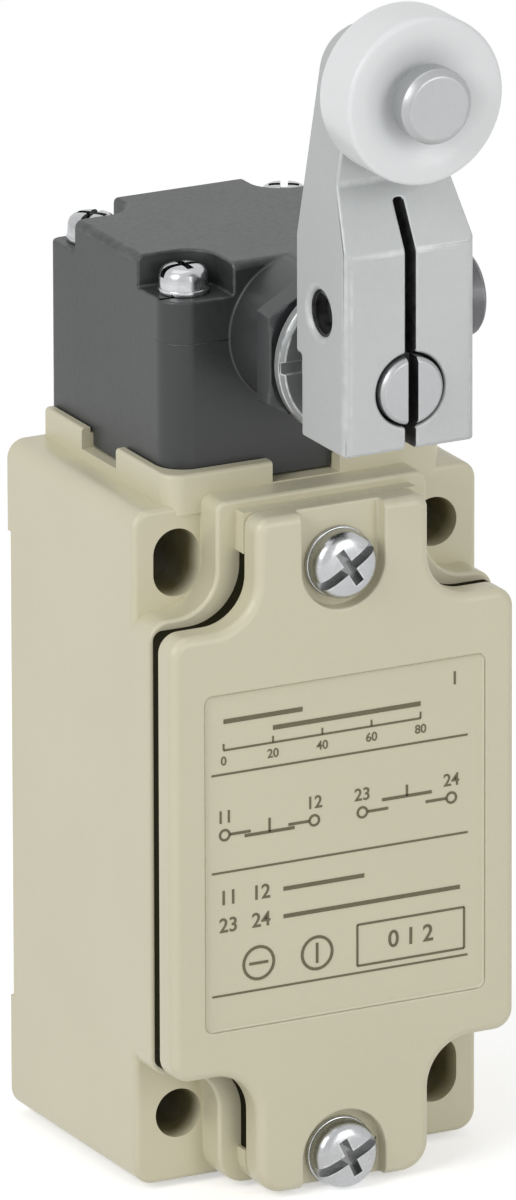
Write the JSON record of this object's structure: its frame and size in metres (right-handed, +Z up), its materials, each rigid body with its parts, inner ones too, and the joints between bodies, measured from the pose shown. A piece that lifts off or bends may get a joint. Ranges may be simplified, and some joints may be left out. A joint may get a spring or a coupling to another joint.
{
  "type": "limit switch",
  "caption": "Metal-bodied limit switch with a bolted front cover, a separate head, and a clamped side lever that carries a free-turning resin roller.",
  "frame": {"origin": "centre of the 30 mm by 60 mm mounting hole pattern, on the back mounting face", "axes": "+X to the switch's right, +Y out of the back face into the panel it is mounted on, +Z up from the conduit entry to the lever's roller; the cover and the lever face -Y"},
  "size_m": [0.04, 0.0587, 0.1313],
  "materials": {
    "body_paint": "beige enamel on die-cast metal, satin",
    "head_paint": "dark grey fine-textured paint on die-cast metal",
    "seal_rubber": "black moulded seal rubber",
    "zinc_screw": "bright zinc plating",
    "terminal_metal": "nickel-plated terminal metal",
    "bush_coating": "dark coated steel bush",
    "bearing_brass": "machined bearing brass",
    "lever_cast": "fine sand-blasted light alloy",
    "dark_steel": "black oxide socket screw",
    "shaft_steel": "ground stainless steel",
    "spring_steel": "spring wire",
    "disc_metal": "satin turned alloy",
    "roller_resin": "white acetal resin, slightly glossy",
    "guide_resin": "grey acetal resin",
    "case_resin": "black glass-filled resin",
    "lid_resin": "grey glass-filled resin",
    "contact_brass": "stamped contact brass"
  },
  "bodies": {
    "switch_body": {"case_screw_lower": "zinc_screw", "case_screw_upper": "zinc_screw", "contact_spring": "spring_steel", "cover_gasket": "seal_rubber", "cover_screw_bottom": "zinc_screw", "cover_screw_top": "zinc_screw", "cover_washer_bottom": "zinc_screw", "cover_washer_top": "zinc_screw", "earth_screw": "terminal_metal", "earth_washer": "terminal_metal", "fixed_contact_11": "contact_brass", "fixed_contact_12": "contact_brass", "fixed_contact_23": "contact_brass", "fixed_contact_24": "contact_brass", "front_cover": "body_paint", "head_casing": "head_paint", "head_gasket": "seal_rubber", "head_screw_left_front": "zinc_screw", "head_screw_left_rear": "zinc_screw", "head_screw_right_front": "zinc_screw", "head_screw_right_rear": "zinc_screw", "head_spring": "spring_steel", "head_washer_left_front": "zinc_screw", "head_washer_left_rear": "zinc_screw", "head_washer_right_front": "zinc_screw", "head_washer_right_rear": "zinc_screw", "housing": "body_paint", "plunger_guide": "guide_resin", "rear_bush": "bearing_brass", "shaft_bush": "bush_coating", "shaft_seal": "seal_rubber", "switch_case": "case_resin", "switch_lid": "lid_resin", "terminal_screw_11": "terminal_metal", "terminal_screw_12": "terminal_metal", "terminal_screw_23": "terminal_metal", "terminal_screw_24": "terminal_metal", "wire_clamp_11": "terminal_metal", "wire_clamp_12": "terminal_metal", "wire_clamp_23": "terminal_metal", "wire_clamp_24": "terminal_metal"},
    "lever": {"lever_arm": "lever_cast", "clamp_bolt": "dark_steel", "rotary_shaft": "shaft_steel", "shaft_clip": "spring_steel", "indicator_disc": "disc_metal", "cam": "shaft_steel", "cam_pin": "shaft_steel", "roller_pin": "shaft_steel"},
    "roller": {"roller": "roller_resin"},
    "head_plunger": {"head_plunger": "shaft_steel"},
    "switch_plunger": {"switch_plunger": "guide_resin", "contact_bridge": "contact_brass"}
  },
  "joints": [
    {"name": "lever_turn", "type": "hinge", "parent": "switch_body", "child": "lever", "pos_m": [0, -0.03, 0.0528], "axis": [0, 1, 0], "range_deg": [-75, 75], "stiffness_Nm_per_rad": 0.15},
    {"name": "roller_spin", "type": "hinge", "parent": "lever", "child": "roller", "pos_m": [0, -0.05245, 0.0843], "axis": [0, 1, 0], "continuous": true},
    {"name": "head_plunger_travel", "type": "slide", "parent": "switch_body", "child": "head_plunger", "axis": [0, 0, 1], "range_m": [-0.002, 0], "stiffness_N_per_m": 500, "springref_m": 0.004, "deforming": ["head_spring"]},
    {"name": "switch_plunger_travel", "type": "slide", "parent": "switch_body", "child": "switch_plunger", "axis": [0, 0, 1], "range_m": [-0.002, 0], "stiffness_N_per_m": 300, "springref_m": 0.004, "deforming": ["contact_spring"]}
  ],
  "couplings": [
    {"joint": "switch_plunger_travel", "follows": "head_plunger_travel", "ratio": 1}
  ]
}
